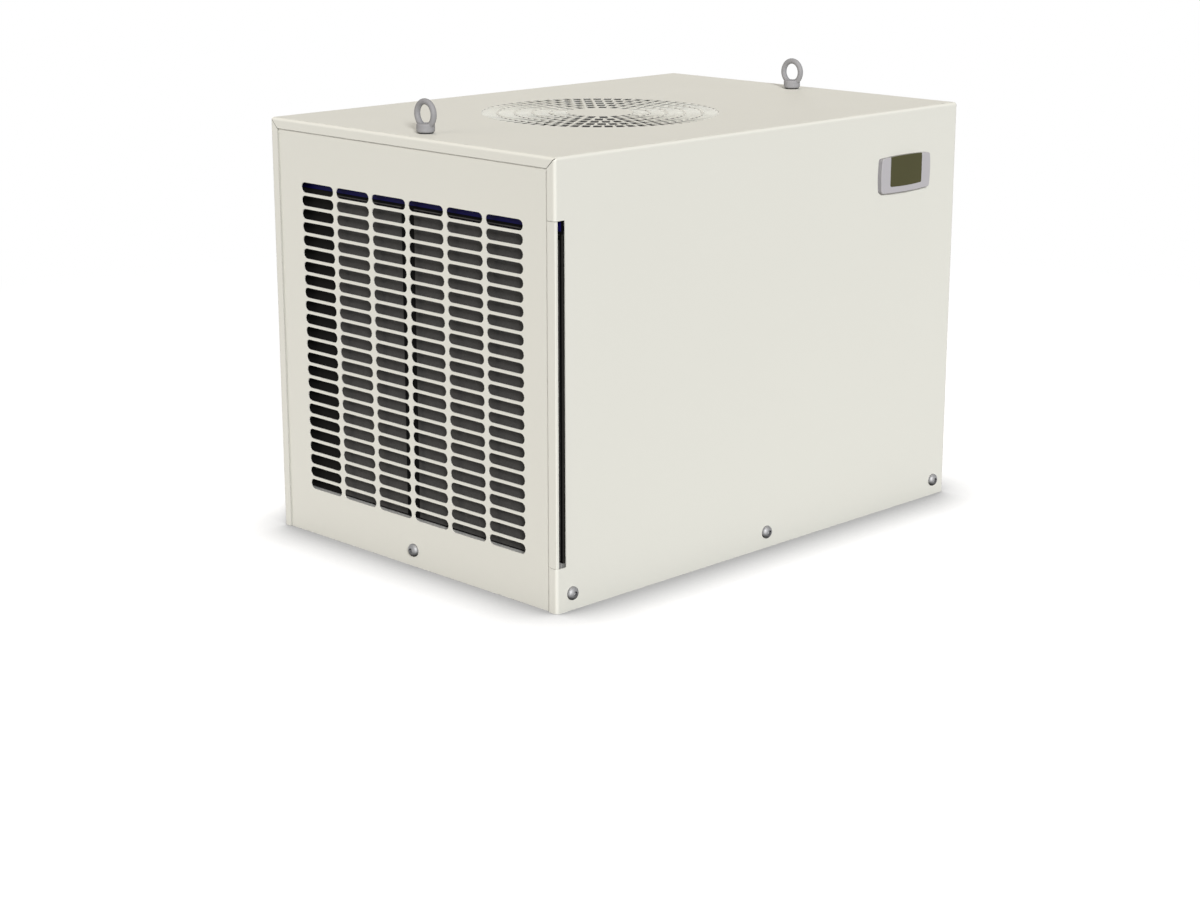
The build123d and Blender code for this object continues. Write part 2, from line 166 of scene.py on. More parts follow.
class LiftingEyes(bpy.types.PropertyGroup):
    """Sizes of the forged lifting eyes."""

    ring_radius: length("Ring Radius", "Radius of the ring's centre line", 12.0 * MM)
    bar: length("Bar", "Diameter of the ring's bar", 6.0 * MM)
    collar_width: length("Collar Width", "Diameter of the collar", 18.0 * MM)
    collar_height: length("Collar Height", "Height of the collar's top above the roof", 9.5 * MM)
    collar_edge: length("Collar Edge", "Bevel round the collar's rims", 0.8 * MM)
    foot_width: length("Foot Width", "Diameter of the foot under the collar", 15.0 * MM)
    foot_height: length("Foot Height", "Height of the foot", 1.4 * MM)
    voxel: length("Voxel", "Detail of the blended forging", 0.45 * MM)


class CoilParts(bpy.types.PropertyGroup):
    """Sizes of the fins and tubes in both coils."""

    fin_pitch: length("Fin Pitch", "Distance between fins", 2.8 * MM)
    fin_thickness: length("Fin Thickness", "Thickness of a fin", 0.3 * MM)
    tube_width: length("Tube Width", "Diameter of a tube", 9.5 * MM)
    tube_pitch: length("Tube Pitch", "Distance between tubes", 24.0 * MM)
    tube_rows: IntProperty(name="Tube Rows", description="Rows of tubes through the coil", min=1, default=2)


class StudioStage(bpy.types.PropertyGroup):
    """Camera, lamps and floor."""

    camera_place: FloatVectorProperty(
        name="Camera Place", description="Where the camera stands", subtype="XYZ", unit="LENGTH",
        default=(-1.7454, -1.7166, 0.7259),
    )
    camera_turn: FloatProperty(
        name="Camera Turn", description="Heading of the camera from the X axis", subtype="ANGLE",
        default=math.radians(45.07),
    )
    camera_tilt: FloatProperty(
        name="Camera Tilt", description="How far the camera looks down", subtype="ANGLE",
        default=math.radians(15.12),
    )
    lens: FloatProperty(name="Lens", description="Focal length in millimetres", default=70.6)
    sky: FloatProperty(name="Sky", description="Strength of the even light all round", default=0.20)
    key: FloatProperty(name="Key", description="Strength of the light from the front left", default=3.30)
    key_from: direction("Key From", "Where the light from the front left comes from", (-0.43, -0.63, 0.31))
    side: FloatProperty(name="Side", description="Strength of the light from the left", default=0.65)
    side_from: direction("Side From", "Where the light from the left comes from", (-0.80, 0.35, 0.30))
    back: FloatProperty(name="Back", description="Strength of the light from behind", default=2.90)
    back_from: direction("Back From", "Where the light from behind comes from", (0.60, 0.60, 0.02))
    top: FloatProperty(name="Top", description="Strength of the light from above", default=0.69)
    top_from: direction("Top From", "Where the light from above comes from", (0.0, 0.0, 1.0))
    plain: color("Plain", "Colour of the key light and the back light", (1.0, 1.0, 1.0))
    warm: color("Warm", "Colour of the side light and the top light", (1.0, 0.90, 0.79))
    softness: FloatProperty(
        name="Softness", description="How wide each light looks from the unit", subtype="ANGLE",
        default=math.radians(12.0),
    )
    floor_size: length("Floor Size", "Width of the floor", 60.0)
    floor_drop: length("Floor Drop", "Gap that keeps the floor clear of the base", 0.2 * MM)
    floor_lift: FloatProperty(name="Floor Lift", description="White added to the floor in view", default=0.80)
    # Painted contact shadow: an ambient occlusion node darkens the floor round the unit's foot
    contact_reach: length("Contact Reach", "How far the dark line round the unit's foot reaches", 0.078)
    contact_shade: FloatProperty(
        name="Contact Shade", description="Brightness of the floor at the foot", default=0.38
    )
    shadow_start: length("Shadow Start", "Distance at which the floor starts to fade to white", 0.9)
    shadow_end: length("Shadow End", "Distance at which the floor is white", 1.6)


# Shader nodes

def feed(tree, node, values):
    """Sets a node's inputs from numbers, colours and the sockets that feed it."""
    for socket, value in values.items():
        if isinstance(value, bpy.types.NodeSocket):
            tree.links.new(value, node.inputs[socket])
        else:
            node.inputs[socket].default_value = value


def add(tree, kind, values=None, **settings):
    """A shader node with its settings, its values and the sockets that feed it."""
    node = tree.nodes.new("ShaderNode" + kind)
    for key, value in settings.items():
        setattr(node, key, value)
    feed(tree, node, values or {})
    return node


def math_node(tree, operation, first, second):
    """The result of a sum on two sockets or numbers."""
    return add(tree, "Math", {0: first, 1: second}, operation=operation).outputs[0]


def swing(tree, value, middle, spread):
    """A value from 0 to 1 turned into one that swings about a middle by a spread."""
    centred = add(tree, "Math", {0: value, 1: 2.0, 2: -1.0}, operation="MULTIPLY_ADD").outputs[0]
    return add(tree, "Math", {0: centred, 1: spread, 2: middle}, operation="MULTIPLY_ADD").outputs[0]


def noise(tree, coordinates, scale, detail):
    """A noise value from 0 to 1."""
    values = {"Vector": coordinates, "Scale": scale, "Detail": detail}
    return add(tree, "TexNoise", values).outputs["Fac"]


def blend(tree, factor, first, second):
    """Two colours blended by a factor."""
    return add(tree, "Mix", {0: factor, 6: first, 7: second}, data_type="RGBA").outputs[2]


def new_group(name, inputs, outputs):
    """An empty shader node group with its named sockets."""
    group = bpy.data.node_groups.new(name, "ShaderNodeTree")
    for label, kind, default in inputs:
        socket = group.interface.new_socket(label, in_out="INPUT", socket_type="NodeSocket" + kind)
        socket.default_value = default
    for label, kind in outputs:
        group.interface.new_socket(label, in_out="OUTPUT", socket_type="NodeSocket" + kind)
    return group, group.nodes.new("NodeGroupInput").outputs, group.nodes.new("NodeGroupOutput").inputs


def finish_variation_group():
    """Faint clouds in the colour, patches in the gloss and a fine grain."""
    group, given, result = new_group(
        "Finish Variation",
        (
            ("Color", "Color", (0.5, 0.5, 0.5, 1.0)),
            ("Color Spread", "Float", 0.03),
            ("Cloud Scale", "Float", 5.0),
            ("Roughness", "Float", 0.5),
            ("Roughness Spread", "Float", 0.05),
            ("Grain Scale", "Float", 800.0),
        ),
        (("Color", "Color"), ("Roughness", "Float"), ("Height", "Float")),
    )
    place = add(group, "TexCoord").outputs["Object"]
    clouds = noise(group, place, given["Cloud Scale"], detail=3.0)
    shade = swing(group, clouds, 1.0, given["Color Spread"])
    tinted = add(group, "VectorMath", {0: given["Color"], "Scale": shade}, operation="SCALE")
    patch_scale = math_node(group, "MULTIPLY", given["Cloud Scale"], PATCHES_PER_CLOUD)
    patches = noise(group, place, patch_scale, detail=4.0)
    group.links.new(tinted.outputs[0], result["Color"])
    group.links.new(swing(group, patches, given["Roughness"], given["Roughness Spread"]), result["Roughness"])
    group.links.new(noise(group, place, given["Grain Scale"], detail=2.0), result["Height"])
    return group


def settled_dust_group():
    """A thin veil of dust that tints and dulls faces that look up."""
    group, given, result = new_group(
        "Settled Dust",
        (
            ("Color", "Color", (0.5, 0.5, 0.5, 1.0)),
            ("Dust", "Color", (0.42, 0.40, 0.36, 1.0)),
            ("Amount", "Float", 0.1),
            ("Patch Scale", "Float", 18.0),
            ("Roughness", "Float", 0.5),
            ("Dulling", "Float", 0.0),
        ),
        (("Color", "Color"), ("Roughness", "Float")),
    )
    up = add(group, "SeparateXYZ", {0: add(group, "NewGeometry").outputs["Normal"]}).outputs["Z"]
    facing = add(
        group, "MapRange", {"Value": up, "From Min": 0.2, "From Max": 0.9}, interpolation_type="SMOOTHSTEP"
    ).outputs[0]
    place = add(group, "TexCoord").outputs["Object"]
    patches = noise(group, place, given["Patch Scale"], detail=5.0)
    mask = math_node(group, "MULTIPLY", math_node(group, "MULTIPLY", facing, patches), given["Amount"])
    group.links.new(blend(group, mask, given["Color"], given["Dust"]), result["Color"])
    dull = math_node(group, "MULTIPLY", facing, given["Dulling"])
    group.links.new(math_node(group, "ADD", given["Roughness"], dull), result["Roughness"])
    return group


def rolled_lines_group():
    """Fine lines that rolling or drawing leaves along a metal."""
    group, given, result = new_group(
        "Rolled Lines",
        (
            ("Stretch", "Vector", (1.0, 1.0, 1.0)),
            ("Scale", "Float", 900.0),
            ("Roughness", "Float", 0.4),
            ("Roughness Spread", "Float", 0.1),
        ),
        (("Roughness", "Float"), ("Height", "Float")),
    )
    place = add(group, "TexCoord").outputs["Object"]
    drawn = add(group, "VectorMath", {0: place, 1: given["Stretch"]}, operation="MULTIPLY").outputs[0]
    lines = noise(group, drawn, given["Scale"], detail=3.0)
    group.links.new(swing(group, lines, given["Roughness"], given["Roughness Spread"]), result["Roughness"])
    group.links.new(lines, result["Height"])
    return group


def place_group(tree, name, build, values):
    """A node group placed in a material with its own values, built the first time it is asked for."""
    node = tree.nodes.new("ShaderNodeGroup")
    node.node_tree = bpy.data.node_groups.get(name) or build()
    feed(tree, node, values)
    return node.outputs


# Materials

def opaque(value):
    """A stored colour with full opacity."""
    return (*value, 1.0)


def new_material(name):
    """An empty material, its node tree and its main shader."""
    material = bpy.data.materials.new(name)
    material.use_nodes = True
    return material, material.node_tree, material.node_tree.nodes["Principled BSDF"]


def varied_finish(name, base, clouds, gloss, grain, bump, dust=(0.0, 0.0), **constants):
    """A finish with clouded colour, patchy gloss and a grained surface.

    clouds is (spread, scale), gloss is (roughness, spread), bump is the grain's depth in metres and
    dust is (amount, added roughness).
    """
    material, tree, shader = new_material(name)
    varied = place_group(tree, "Finish Variation", finish_variation_group, {
        "Color": opaque(base), "Color Spread": clouds[0], "Cloud Scale": clouds[1],
        "Roughness": gloss[0], "Roughness Spread": gloss[1], "Grain Scale": grain,
    })
    dusted = place_group(tree, "Settled Dust", settled_dust_group, {
        "Color": varied["Color"], "Amount": dust[0], "Roughness": varied["Roughness"], "Dulling": dust[1],
    })
    surface = add(tree, "Bump", {"Height": varied["Height"], "Distance": bump, "Strength": 1.0})
    tree.links.new(dusted["Color"], shader.inputs["Base Color"])
    tree.links.new(dusted["Roughness"], shader.inputs["Roughness"])
    tree.links.new(surface.outputs[0], shader.inputs["Normal"])
    for socket, value in constants.items():
        shader.inputs[socket.replace("_", " ")].default_value = value
    return material


def rolled_metal(name, base, stretch, gloss, bump, metallic=1.0):
    """A bare metal with fine drawn lines and faintly clouded colour."""
    material, tree, shader = new_material(name)
    lines = place_group(tree, "Rolled Lines", rolled_lines_group, {
        "Stretch": stretch, "Roughness": gloss[0], "Roughness Spread": gloss[1],
    })
    varied = place_group(tree, "Finish Variation", finish_variation_group, {
        "Color": opaque(base), "Color Spread": 0.08, "Cloud Scale": 40.0,
    })
    surface = add(tree, "Bump", {"Height": lines["Height"], "Distance": bump, "Strength": 1.0})
    tree.links.new(varied["Color"], shader.inputs["Base Color"])
    tree.links.new(lines["Roughness"], shader.inputs["Roughness"])
    tree.links.new(surface.outputs[0], shader.inputs["Normal"])
    shader.inputs["Metallic"].default_value = metallic
    return material


def fibre_mat(name, base):
    """Charcoal mat of tangled fibres."""
    material, tree, shader = new_material(name)
    place = add(tree, "TexCoord").outputs["Object"]
    tangle = add(tree, "TexNoise", {"Vector": place, "Scale": 260.0, "Detail": 4.0, "Distortion": 2.5})
    varied = place_group(tree, "Finish Variation", finish_variation_group, {
        "Color": opaque(base), "Color Spread": 0.25, "Cloud Scale": 70.0,
        "Roughness": 0.92, "Roughness Spread": 0.05,
    })
    light = add(tree, "VectorMath", {0: varied["Color"], "Scale": 1.7}, operation="SCALE").outputs[0]
    tree.links.new(blend(tree, tangle.outputs["Fac"], varied["Color"], light), shader.inputs["Base Color"])
    tree.links.new(varied["Roughness"], shader.inputs["Roughness"])
    surface = add(tree, "Bump", {"Height": tangle.outputs["Fac"], "Distance": 0.8 * MM, "Strength": 1.0})
    tree.links.new(surface.outputs[0], shader.inputs["Normal"])
    return material


def axis_step(material, axis, start, end):
    """0 before one place on an axis and 1 past another."""
    tree = material.node_tree
    place = add(tree, "SeparateXYZ", {0: add(tree, "TexCoord").outputs["Object"]}).outputs[axis]
    return add(tree, "MapRange", {"Value": place, "From Min": start, "From Max": end}).outputs[0]


def tint(material, mask, shade):
    """Blends another colour into a finish where a mask is 1."""
    tree = material.node_tree
    socket = tree.nodes["Principled BSDF"].inputs["Base Color"]
    tree.links.new(blend(tree, mask, socket.links[0].from_socket, opaque(shade)), socket)


# Pieces

def dress(material, *names):
    """Gives a finish to pieces of the solid model."""
    for name in names:
        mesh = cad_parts[name].data
        mesh.materials.clear()
        mesh.materials.append(material)


def new_piece(name, shape, material):
    """An object from a finished bmesh, smooth but for its sharp edges, riding on the unit."""
    bmesh.ops.recalc_face_normals(shape, faces=shape.faces)
    mesh = bpy.data.meshes.new(name)
    shape.to_mesh(mesh)
    shape.free()
    mesh.shade_smooth()
    mesh.set_sharp_from_angle(angle=CREASE)
    mesh.materials.append(material)
    piece = bpy.data.objects.new(name, mesh)
    bpy.context.collection.objects.link(piece)
    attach(piece, BODY)
    return piece


def spun(shape, profile, steps):
    """Spins a profile of (radius, height) points round the Z axis and returns the new vertices."""
    before = set(shape.verts)
    points = [shape.verts.new((radius, 0.0, height)) for radius, height in profile]
    edges = [shape.edges.new(pair) for pair in zip(points, points[1:])]
    bmesh.ops.spin(
        shape, geom=points + edges, cent=(0, 0, 0), axis=(0, 0, 1), angle=math.tau, steps=steps,
        use_merge=True,
    )
    new = [vert for vert in shape.verts if vert not in before]
    bmesh.ops.remove_doubles(shape, verts=new, dist=MERGE_DISTANCE)
    return [vert for vert in shape.verts if vert not in before]


def dome_profile(screws):
    """Points of the domed head from its rim to the flat round the socket."""
    radius = screws.head_width / 2
    rise = screws.head_height - screws.head_rim
    points = []
    for step in range(DOME_STEPS + 1):
        turn = DOME_ANGLE * step / DOME_STEPS
        height = screws.head_rim + rise * math.sin(turn) / math.sin(DOME_ANGLE)
        points.append((radius * math.cos(turn), height))
    return points


def add_screw(shape, screws, outwards, place):
    """A button-head screw with a six-sided socket, its head facing outwards."""
    corner = screws.socket_width / math.sqrt(3)
    floor = screws.head_height - screws.socket_depth
    profile = [
        (0.0, -screws.shank_length),
        (screws.shank_width / 2, -screws.shank_length),
        (screws.shank_width / 2, 0.0),
        (screws.head_width / 2, 0.0),
        *dome_profile(screws),
        (corner, screws.head_height),
        (corner, floor),
        (0.0, floor - corner / 2),
    ]
    new = spun(shape, profile, SCREW_STEPS)
    for vert in new:
        flat = vert.co.to_2d()
        if abs(flat.length - corner) < SOCKET_TOLERANCE and vert.co.z > 0:
            turn = math.atan2(flat.y, flat.x) % (math.pi / 3) - math.pi / 6
            vert.co.xy = flat.normalized() * screws.socket_width / 2 / math.cos(turn)
    turn = outwards.to_track_quat("Z", "Y").to_matrix().to_4x4()
    bmesh.ops.transform(shape, matrix=Matrix.Translation(place) @ turn, verts=new)


class ROOFUNIT_OT_cabinet(bpy.types.Operator):
    """Powder-coat the hood, side panels and base tray"""

    bl_idname = "roofunit.cabinet"
    bl_label = "Cabinet"

    def execute(self, context):
        colors = context.scene.roof_unit_colors
        coat = varied_finish(
            "Cabinet Coat", colors.cabinet, clouds=(0.012, 3.0), gloss=(0.38, 0.05), grain=620.0,
            bump=0.035 * MM, dust=(0.05, 0.32),
        )
        # Painted shade on the ends of the grille's slots
        tint(coat, self.slot_end_shade_mask(coat), colors.slot_end_painted_shade)
        # Painted shade on the folds' cut edges and mitred corners
        tint(coat, self.fold_shade_mask(coat), colors.fold_edge_painted_shade)
        dress(coat, "hood", "left_side_panel", "right_side_panel")
        tray_coat = varied_finish(
            "Tray Coat", colors.tray, clouds=(0.03, 6.0), gloss=(0.5, 0.06), grain=620.0, bump=0.035 * MM
        )
        dress(tray_coat, "base_tray")
        return {"FINISHED"}

    def fold_shade_mask(self, material):
        """1 on the cut edges of the folds round both sides and in their mitred corners, where painted shade
        goes, otherwise 0.
        """
        tree = material.node_tree
        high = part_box("hood")[1]
        place = add(tree, "SeparateXYZ", {0: add(tree, "TexCoord").outputs["Object"]}).outputs
        normal = add(tree, "SeparateXYZ", {0: add(tree, "NewGeometry").outputs["True Normal"]}).outputs
        side = math_node(tree, "ABSOLUTE", place["X"], 0.0)
        in_sheet = math_node(tree, "GREATER_THAN", side, high.x - FOLD_SHEET)
        from_wall = math_node(tree, "SUBTRACT", high.y, math_node(tree, "ABSOLUTE", place["Y"], 0.0))
        from_roof = math_node(tree, "SUBTRACT", high.z, place["Z"])
        across = math_node(tree, "ABSOLUTE", math_node(tree, "SUBTRACT", from_wall, from_roof), 0.0)
        in_mitre = math_node(tree, "LESS_THAN", across, FOLD_SHEET)
        past_bend = math_node(tree, "GREATER_THAN", from_wall, FOLD_BEND)
        steep = math_node(tree, "ABSOLUTE", normal["Y"], 0.0)
        upright = math_node(tree, "GREATER_THAN", steep, UPRIGHT_NORMAL)
        edge = math_node(tree, "MAXIMUM", past_bend, in_mitre)
        return math_node(tree, "MULTIPLY", in_sheet, math_node(tree, "MULTIPLY", edge, upright))

    def slot_end_shade_mask(self, material):
        """Near 1 on the inner and outer ends of the slots in the roof's round grille, otherwise 0: the mask
        of their painted shade.
        """
        tree = material.node_tree
        low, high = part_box("fan_ring")
        middle = (low + high) / 2
        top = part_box("hood")[1].z
        place = add(tree, "TexCoord").outputs["Object"]
        centre = (middle.x, middle.y, 0.0)
        arm = add(tree, "VectorMath", {0: place, 1: centre}, operation="SUBTRACT").outputs[0]
        flat = add(tree, "VectorMath", {0: arm, 1: (1.0, 1.0, 0.0)}, operation="MULTIPLY").outputs[0]
        radius = add(tree, "VectorMath", {0: flat}, operation="LENGTH").outputs["Value"]
        outwards = add(tree, "VectorMath", {0: flat}, operation="NORMALIZE").outputs[0]
        normal = add(tree, "NewGeometry").outputs["True Normal"]
        across = add(tree, "VectorMath", {0: normal, 1: outwards}, operation="DOT_PRODUCT").outputs["Value"]
        inwards = math_node(tree, "MULTIPLY", across, -INNER_END_SHADE_SHARE)
        facing = math_node(tree, "MAXIMUM", across, inwards)
        slot_end = add(tree, "MapRange", {"Value": facing, "From Min": 0.3, "From Max": 0.8}).outputs[0]
        inside = math_node(tree, "LESS_THAN", radius, (high.x - low.x) / 2)
        below = axis_step(material, "Z", top - SLOT_EDGE_START, top - SLOT_EDGE_END)
        return math_node(tree, "MULTIPLY", math_node(tree, "MULTIPLY", slot_end, inside), below)


class ROOFUNIT_OT_cover_screws(bpy.types.Operator):
    """Add the button-head screws along the cover's lower edge"""

    bl_idname = "roofunit.cover_screws"
    bl_label = "Cover Screws"

    def execute(self, context):
        screws = context.scene.roof_unit_screws
        low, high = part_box("hood")
        side_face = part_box("right_side_panel")[1].x
        shape = bmesh.new()
        for x in (low.x + screws.inset, (low.x + high.x) / 2, high.x - screws.inset):
            add_screw(shape, screws, Vector((0, -1, 0)), Vector((x, low.y, screws.height)))
            add_screw(shape, screws, Vector((0, 1, 0)), Vector((x, high.y, screws.height)))
        add_screw(shape, screws, Vector((-1, 0, 0)), Vector((-side_face, 0, screws.height)))
        add_screw(shape, screws, Vector((1, 0, 0)), Vector((side_face, 0, screws.height)))
        zinc = varied_finish(
            "Bright Zinc", context.scene.roof_unit_colors.screws, clouds=(0.08, 120.0), gloss=(0.60, 0.06),
            grain=1500.0, bump=0.01 * MM, Metallic=1.0,
        )
        # Painted shade on the screws' downward faces
        tint(zinc, self.underside(zinc), context.scene.roof_unit_colors.screw_underside_painted_shade)
        new_piece("cover_screws", shape, zinc)
        return {"FINISHED"}

    def underside(self, material):
        """1 on faces that look down, where the screws take painted shade, otherwise 0."""
        tree = material.node_tree
        up = add(tree, "SeparateXYZ", {0: add(tree, "NewGeometry").outputs["Normal"]}).outputs["Z"]
        return add(tree, "MapRange", {"Value": up, "From Min": 0.0, "From Max": -0.6}).outputs[0]


class ROOFUNIT_OT_lifting_eyes(bpy.types.Operator):
    """Model the two forged lifting eyes on the roof"""

    bl_idname = "roofunit.lifting_eyes"
    bl_label = "Lifting Eyes"

    def execute(self, context):
        eyes = context.scene.roof_unit_eyes
        low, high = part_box("lifting_eyes")
        shape = bmesh.new()
        for x in (low.x + eyes.collar_width / 2, high.x - eyes.collar_width / 2):
            new = self.collar(shape, eyes) + self.ring(shape, eyes, high.z - low.z)
            bmesh.ops.translate(shape, verts=new, vec=(x, 0, low.z))
        steel = varied_finish(
            "Forged Grey", context.scene.roof_unit_colors.eyes, clouds=(0.05, 90.0), gloss=(0.6, 0.07),
            grain=900.0, bump=0.05 * MM, Specular_IOR_Level=0.3,
        )
        # Painted shade: near black on the eyes' feet under the collars
        foot = low.z + eyes.foot_height
        tint(steel, axis_step(steel, "Z", foot, foot - eyes.voxel), context.scene.roof_unit_colors.eye_foot_painted_shade)
        piece = new_piece("lifting_eye_forgings", shape, steel)
        self.blend_forging(context, piece, eyes)
        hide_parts("lifting_eyes")
        return {"FINISHED"}

    def collar(self, shape, eyes):
        """Round collar with bevelled rims on a narrower foot."""
        radius = eyes.collar_width / 2
        edge = eyes.collar_edge
        return spun(shape, [
            (0.0, 0.0),
            (eyes.foot_width / 2, 0.0),
            (eyes.foot_width / 2, eyes.foot_height),
            (radius - edge, eyes.foot_height),
            (radius, eyes.foot_height + edge),
            (radius, eyes.collar_height - edge),
            (radius - edge, eyes.collar_height),
            (0.0, eyes.collar_height),
        ], COLLAR_STEPS)

    def ring(self, shape, eyes, top):
        """Round bar bent to a ring whose hole faces left and right."""
        new = bmesh.ops.create_circle(shape, segments=BAR_SEGMENTS, radius=eyes.bar / 2)["verts"]
        bmesh.ops.translate(shape, verts=new, vec=(eyes.ring_radius, 0, 0))
        upright = Matrix.Rotation(math.pi / 2, 4, "X")
        bmesh.ops.transform(shape, matrix=upright, verts=new)
        before = set(shape.verts) - set(new)
        edges = list({edge for vert in new for edge in vert.link_edges})
        bmesh.ops.spin(
            shape, geom=new + edges, cent=(0, 0, 0), axis=(0, 0, 1), angle=math.tau, steps=RING_STEPS,
            use_merge=True,
        )
        made = [vert for vert in shape.verts if vert not in before]
        bmesh.ops.remove_doubles(shape, verts=made, dist=MERGE_DISTANCE)
        made = [vert for vert in shape.verts if vert not in before]
        lift = top - eyes.ring_radius - eyes.bar / 2
        turn = Matrix.Translation((0, 0, lift)) @ Matrix.Rotation(math.pi / 2, 4, "Y")
        bmesh.ops.transform(shape, matrix=turn, verts=made)
        return made

    def blend_forging(self, context, piece, eyes):
        """Melts the ring and collar together with a small fillet."""
        remesh = piece.modifiers.new("Melt", "REMESH")
        remesh.mode = "VOXEL"
        remesh.voxel_size = eyes.voxel
        remesh.use_smooth_shade = True
        soften = piece.modifiers.new("Soften", "SMOOTH")
        soften.factor = SOFTEN_FACTOR
        soften.iterations = SOFTEN_STEPS
        made = bpy.data.meshes.new_from_object(piece.evaluated_get(context.evaluated_depsgraph_get()))
        piece.modifiers.clear()
        piece.data = made


class ROOFUNIT_OT_controller(bpy.types.Operator):
    """Finish the controller's bezel and display"""

    bl_idname = "roofunit.controller"
    bl_label = "Controller"

    def execute(self, context):
        colors = context.scene.roof_unit_colors
        plastic = varied_finish(
            "Bezel Plastic", colors.bezel, clouds=(0.02, 30.0), gloss=(0.45, 0.05), grain=1800.0,
            bump=0.02 * MM,
        )
        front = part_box("controller_bezel")[0].y
        rim = axis_step(plastic, "Y", front + BEZEL_RIM_START, front + BEZEL_RIM_END)
        tint(plastic, rim, colors.bezel_rim)
        dress(plastic, "controller_bezel")
        glass = varied_finish(
            "Display Glass", colors.display, clouds=(0.08, 25.0), gloss=(0.3, 0.04), grain=2500.0,
            bump=0.003 * MM, Specular_IOR_Level=0.15,
        )
        dress(glass, "controller_display")
        return {"FINISHED"}


class ROOFUNIT_OT_filter(bpy.types.Operator):
    """Finish the filter cassette, its mats and its rails"""

    bl_idname = "roofunit.filter"
    bl_label = "Filter"

    def execute(self, context):
        colors = context.scene.roof_unit_colors
        dress(fibre_mat("Filter Fibre", colors.mat), "filter_mat_front", "filter_mat_rear")
        plastic = varied_finish(
            "Frame Plastic", colors.black, clouds=(0.15, 30.0), gloss=(0.75, 0.08), grain=1200.0,
            bump=0.03 * MM, Specular_IOR_Level=0.06,
        )
        self.frame_end(plastic, colors)
        dress(plastic, "filter_frame")
        navy = varied_finish(
            "Navy Coat", colors.rail, clouds=(0.1, 20.0), gloss=(0.6, 0.06), grain=700.0, bump=0.03 * MM,
            Specular_IOR_Level=0.15,
        )
        dress(navy, "filter_rail_upper")
        zinc = rolled_metal(
            "Galvanised Rail", colors.galvanised, stretch=(1.0, 0.03, 1.0), gloss=(0.42, 0.1), bump=0.01 * MM,
            metallic=0.2,
        )
        dress(zinc, "filter_rail_lower")
        return {"FINISHED"}

    def frame_end(self, material, colors):
        """Lightens the frame's front end below its head with painted light, its foot in the lower rail to a
        grey, and its rear border.
        """
        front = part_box("filter_frame")[0].y
        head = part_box("filter_mat_front")[1].z
        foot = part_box("filter_rail_lower")[1].z
        end = axis_step(material, "Y", front + FRAME_END_FADE, front)
        # Painted light on the lit front end below the head, then a grey below the lower rail's top
        for height, shade in ((head, colors.frame_end), (foot, colors.rail_end)):
            below = axis_step(material, "Z", height, height - FRAME_HEIGHT_FADE)
            tint(material, math_node(material.node_tree, "MULTIPLY", end, below), shade)
        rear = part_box("filter_mat_rear")[1].y
        tint(material, axis_step(material, "Y", rear, rear + FRAME_END_FADE), colors.frame_rear)


class ROOFUNIT_OT_exhaust_fan(bpy.types.Operator):
    """Finish the fan under the roof's grille"""

    bl_idname = "roofunit.exhaust_fan"
    bl_label = "Exhaust Fan"

    def execute(self, context):
        colors = context.scene.roof_unit_colors
        fan_coat = varied_finish(
            "Fan Coat", colors.fan, clouds=(0.15, 25.0), gloss=(0.6, 0.08), grain=900.0, bump=0.03 * MM,
            dust=(0.04, 0.1), Specular_IOR_Level=0.15,
        )
        dress(fan_coat, "fan_bracket", "fan_motor", "fan_rotor")
        ring_coat = varied_finish(
            "Ring Coat", colors.ring, clouds=(0.15, 25.0), gloss=(0.6, 0.08), grain=900.0, bump=0.03 * MM
        )
        dress(ring_coat, "fan_ring")
        return {"FINISHED"}


class ROOFUNIT_OT_coils(bpy.types.Operator):
    """Build the fin stacks and tubes of the condenser and the evaporator"""

    bl_idname = "roofunit.coils"
    bl_label = "Coils"

    def execute(self, context):
        colors = context.scene.roof_unit_colors
        coils = context.scene.roof_unit_coils
        aluminium = rolled_metal(
            "Fin Aluminium", colors.aluminium, stretch=(1.0, 1.0, 0.05), gloss=(0.38, 0.1), bump=0.01 * MM
        )
        copper = rolled_metal(
            "Tube Copper", colors.copper, stretch=(1.0, 0.05, 1.0), gloss=(0.35, 0.1), bump=0.01 * MM
        )
        plate = rolled_metal(
            "Galvanised Plate", colors.galvanised, stretch=(0.05, 1.0, 1.0), gloss=(0.42, 0.1), bump=0.01 * MM
        )
        for coil in ("condenser", "evaporator"):
            low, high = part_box(coil + "_fins")
            stack = new_piece(coil + "_fin_stack", self.fins(coils, low, high), aluminium)
            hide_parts(coil + "_fins")
            new_piece(coil + "_tubes", self.tubes(coils, low, high), copper)
            dress(plate, coil + "_end_plate_front", coil + "_end_plate_rear")
        return {"FINISHED"}

    def fins(self, coils, low, high):
        """Thin plates across the coil, one pitch apart."""
        shape = bmesh.new()
        count = int((high.y - low.y) / coils.fin_pitch)
        middle = (low + high) / 2
        size = Matrix.Diagonal((high.x - low.x, coils.fin_thickness, high.z - low.z, 1.0))
        for step in range(count):
            place = Vector((middle.x, low.y + (step + 0.5) * (high.y - low.y) / count, middle.z))
            bmesh.ops.create_cube(shape, size=1.0, matrix=Matrix.Translation(place) @ size)
        return shape

    def tubes(self, coils, low, high):
        """Straight tubes through the fins, in staggered rows."""
        shape = bmesh.new()
        along = Matrix.Rotation(math.pi / 2, 4, "X")
        run = high.y - low.y
        levels = int((high.z - low.z) / coils.tube_pitch)
        for row in range(coils.tube_rows):
            x = low.x + (row + 0.5) * (high.x - low.x) / coils.tube_rows
            for level in range(levels):
                z = low.z + (level + 0.5 + TUBE_STAGGER * (-1) ** row) * coils.tube_pitch
                place = Matrix.Translation((x, (low.y + high.y) / 2, z))
                bmesh.ops.create_cone(
                    shape, cap_ends=True, segments=TUBE_SEGMENTS, radius1=coils.tube_width / 2,
                    radius2=coils.tube_width / 2, depth=run, matrix=place @ along,
                )
        return shape


